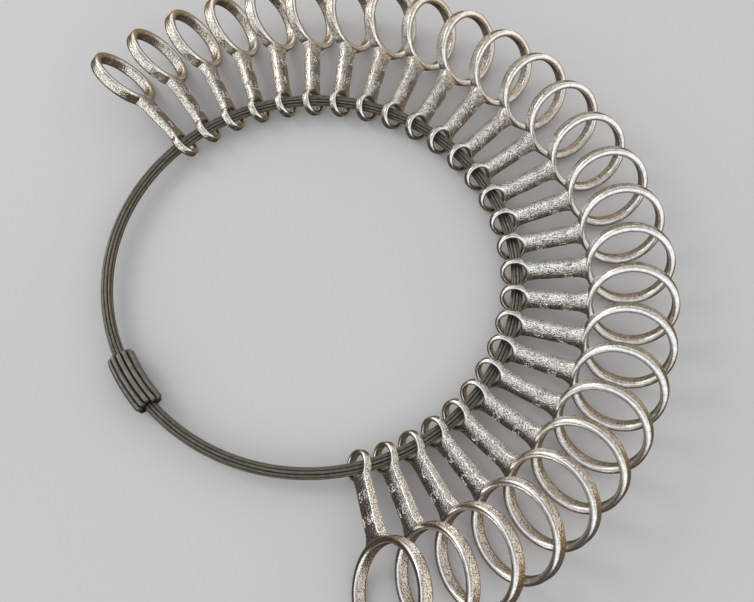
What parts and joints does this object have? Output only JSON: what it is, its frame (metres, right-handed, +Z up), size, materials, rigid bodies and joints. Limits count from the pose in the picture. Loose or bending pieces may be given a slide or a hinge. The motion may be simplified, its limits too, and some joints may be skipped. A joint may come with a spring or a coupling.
{
  "type": "ring sizer set",
  "caption": "Set of one-piece finger-size ring gauges, each threaded by an eyelet on a closed loop of fine wire ropes held by a fluted crimp sleeve.",
  "frame": {"origin": "on the surface that the set lies on, under the middle of its outline seen from above", "axes": "+Z up; +X towards the middle gauges, with the bare side of the rope loop and the crimp sleeve at -X; +Y towards the small gauges and -Y towards the large ones"},
  "size_m": [0.1454, 0.1666, 0.0195],
  "materials": {
    "gauge_metal": "bright plated casting with a fine grain",
    "rope_steel": "dark stranded wire",
    "sleeve_steel": "dark drawn tube, crimped"
  },
  "bodies": {
    "rope_loop": {"rope_outer_1": "rope_steel", "rope_outer_2": "rope_steel", "rope_outer_3": "rope_steel", "rope_outer_4": "rope_steel", "rope_outer_5": "rope_steel", "rope_outer_6": "rope_steel", "rope_outer_7": "rope_steel", "rope_outer_8": "rope_steel", "rope_outer_9": "rope_steel", "rope_core_1": "rope_steel", "rope_core_2": "rope_steel", "rope_core_3": "rope_steel", "crimp_sleeve": "sleeve_steel"},
    "gauge_3": {"gauge_size_3": "gauge_metal"},
    "gauge_3_25": {"gauge_size_3_25": "gauge_metal"},
    "gauge_3_50": {"gauge_size_3_50": "gauge_metal"},
    "gauge_3_75": {"gauge_size_3_75": "gauge_metal"},
    "gauge_4": {"gauge_size_4": "gauge_metal"},
    "gauge_4_25": {"gauge_size_4_25": "gauge_metal"},
    "gauge_4_50": {"gauge_size_4_50": "gauge_metal"},
    "gauge_4_75": {"gauge_size_4_75": "gauge_metal"},
    "gauge_5": {"gauge_size_5": "gauge_metal"},
    "gauge_5_25": {"gauge_size_5_25": "gauge_metal"},
    "gauge_5_50": {"gauge_size_5_50": "gauge_metal"},
    "gauge_5_75": {"gauge_size_5_75": "gauge_metal"},
    "gauge_6": {"gauge_size_6": "gauge_metal"},
    "gauge_6_25": {"gauge_size_6_25": "gauge_metal"},
    "gauge_6_50": {"gauge_size_6_50": "gauge_metal"},
    "gauge_6_75": {"gauge_size_6_75": "gauge_metal"},
    "gauge_7": {"gauge_size_7": "gauge_metal"},
    "gauge_7_25": {"gauge_size_7_25": "gauge_metal"},
    "gauge_7_50": {"gauge_size_7_50": "gauge_metal"},
    "gauge_7_75": {"gauge_size_7_75": "gauge_metal"},
    "gauge_8": {"gauge_size_8": "gauge_metal"},
    "gauge_8_25": {"gauge_size_8_25": "gauge_metal"},
    "gauge_8_50": {"gauge_size_8_50": "gauge_metal"},
    "gauge_8_75": {"gauge_size_8_75": "gauge_metal"},
    "gauge_9": {"gauge_size_9": "gauge_metal"},
    "gauge_9_25": {"gauge_size_9_25": "gauge_metal"},
    "gauge_9_50": {"gauge_size_9_50": "gauge_metal"}
  },
  "joints": [
    {"name": "swing_3", "type": "hinge", "parent": "rope_loop", "child": "gauge_3", "pos_m": [-0.0478, 0.03398, 0.0033], "axis": [0.6157, 0.5038, 0.6059], "range_deg": [0, 90]},
    {"name": "swing_3_25", "type": "hinge", "parent": "rope_loop", "child": "gauge_3_25", "pos_m": [-0.04254, 0.03888, 0.0033], "axis": [0.6841, 0.4066, 0.6056], "range_deg": [0, 90]},
    {"name": "swing_3_50", "type": "hinge", "parent": "rope_loop", "child": "gauge_3_50", "pos_m": [-0.03663, 0.04294, 0.0033], "axis": [0.7372, 0.3002, 0.6054], "range_deg": [0, 90]},
    {"name": "swing_3_75", "type": "hinge", "parent": "rope_loop", "child": "gauge_3_75", "pos_m": [-0.03018, 0.04609, 0.0033], "axis": [0.7739, 0.1871, 0.6051], "range_deg": [0, 90]},
    {"name": "swing_4", "type": "hinge", "parent": "rope_loop", "child": "gauge_4", "pos_m": [-0.02333, 0.04826, 0.0033], "axis": [0.7933, 0.0697, 0.6048], "range_deg": [0, 90]},
    {"name": "swing_4_25", "type": "hinge", "parent": "rope_loop", "child": "gauge_4_25", "pos_m": [-0.01625, 0.04939, 0.0033], "axis": [0.795, -0.0492, 0.6046], "range_deg": [0, 90]},
    {"name": "swing_4_50", "type": "hinge", "parent": "rope_loop", "child": "gauge_4_50", "pos_m": [-0.00907, 0.04947, 0.0033], "axis": [0.779, -0.167, 0.6043], "range_deg": [0, 90]},
    {"name": "swing_4_75", "type": "hinge", "parent": "rope_loop", "child": "gauge_4_75", "pos_m": [-0.00196, 0.04849, 0.0033], "axis": [0.7456, -0.2812, 0.6041], "range_deg": [0, 90]},
    {"name": "swing_5", "type": "hinge", "parent": "rope_loop", "child": "gauge_5", "pos_m": [0.00493, 0.04647, 0.0033], "axis": [0.6956, -0.3892, 0.6038], "range_deg": [0, 90]},
    {"name": "swing_5_25", "type": "hinge", "parent": "rope_loop", "child": "gauge_5_25", "pos_m": [0.01145, 0.04346, 0.0033], "axis": [0.6301, -0.4885, 0.6036], "range_deg": [0, 90]},
    {"name": "swing_5_50", "type": "hinge", "parent": "rope_loop", "child": "gauge_5_50", "pos_m": [0.01745, 0.03952, 0.0033], "axis": [0.5505, -0.577, 0.6033], "range_deg": [0, 90]},
    {"name": "swing_5_75", "type": "hinge", "parent": "rope_loop", "child": "gauge_5_75", "pos_m": [0.0228, 0.03474, 0.0033], "axis": [0.4587, -0.6526, 0.6031], "range_deg": [0, 90]},
    {"name": "swing_6", "type": "hinge", "parent": "rope_loop", "child": "gauge_6", "pos_m": [0.0274, 0.02923, 0.0033], "axis": [0.3565, -0.7138, 0.6028], "range_deg": [0, 90]},
    {"name": "swing_6_25", "type": "hinge", "parent": "rope_loop", "child": "gauge_6_25", "pos_m": [0.03111, 0.02313, 0.0033], "axis": [0.2471, -0.7588, 0.6026], "range_deg": [0, 90]},
    {"name": "swing_6_50", "type": "hinge", "parent": "rope_loop", "child": "gauge_6_50", "pos_m": [0.03387, 0.01663, 0.0033], "axis": [0.1335, -0.787, 0.6023], "range_deg": [0, 90]},
    {"name": "swing_6_75", "type": "hinge", "parent": "rope_loop", "child": "gauge_6_75", "pos_m": [0.03564, 0.00989, 0.0033], "axis": [0.0183, -0.7982, 0.6021], "range_deg": [0, 90]},
    {"name": "swing_7", "type": "hinge", "parent": "rope_loop", "child": "gauge_7", "pos_m": [0.03642, 0.00304, 0.0033], "axis": [-0.096, -0.7928, 0.6018], "range_deg": [0, 90]},
    {"name": "swing_7_25", "type": "hinge", "parent": "rope_loop", "child": "gauge_7_25", "pos_m": [0.03623, -0.00377, 0.0033], "axis": [-0.2071, -0.7715, 0.6016], "range_deg": [0, 90]},
    {"name": "swing_7_50", "type": "hinge", "parent": "rope_loop", "child": "gauge_7_50", "pos_m": [0.03511, -0.01041, 0.0033], "axis": [-0.3128, -0.7352, 0.6013], "range_deg": [0, 90]},
    {"name": "swing_7_75", "type": "hinge", "parent": "rope_loop", "child": "gauge_7_75", "pos_m": [0.03312, -0.01675, 0.0033], "axis": [-0.4113, -0.6852, 0.6011], "range_deg": [0, 90]},
    {"name": "swing_8", "type": "hinge", "parent": "rope_loop", "child": "gauge_8", "pos_m": [0.03032, -0.02269, 0.0033], "axis": [-0.5009, -0.623, 0.6008], "range_deg": [0, 90]},
    {"name": "swing_8_25", "type": "hinge", "parent": "rope_loop", "child": "gauge_8_25", "pos_m": [0.02679, -0.02814, 0.0033], "axis": [-0.5803, -0.55, 0.6006], "range_deg": [0, 90]},
    {"name": "swing_8_50", "type": "hinge", "parent": "rope_loop", "child": "gauge_8_50", "pos_m": [0.02262, -0.033, 0.0033], "axis": [-0.6484, -0.4682, 0.6003], "range_deg": [0, 90]},
    {"name": "swing_8_75", "type": "hinge", "parent": "rope_loop", "child": "gauge_8_75", "pos_m": [0.01792, -0.03723, 0.0033], "axis": [-0.7044, -0.3791, 0.6001], "range_deg": [0, 90]},
    {"name": "swing_9", "type": "hinge", "parent": "rope_loop", "child": "gauge_9", "pos_m": [0.01277, -0.04077, 0.0033], "axis": [-0.7477, -0.2848, 0.5998], "range_deg": [0, 90]},
    {"name": "swing_9_25", "type": "hinge", "parent": "rope_loop", "child": "gauge_9_25", "pos_m": [0.00729, -0.04359, 0.0033], "axis": [-0.7782, -0.1869, 0.5996], "range_deg": [0, 90]},
    {"name": "swing_9_50", "type": "hinge", "parent": "rope_loop", "child": "gauge_9_50", "pos_m": [0.00157, -0.04566, 0.0033], "axis": [-0.7957, -0.0873, 0.5993], "range_deg": [0, 90]}
  ]
}
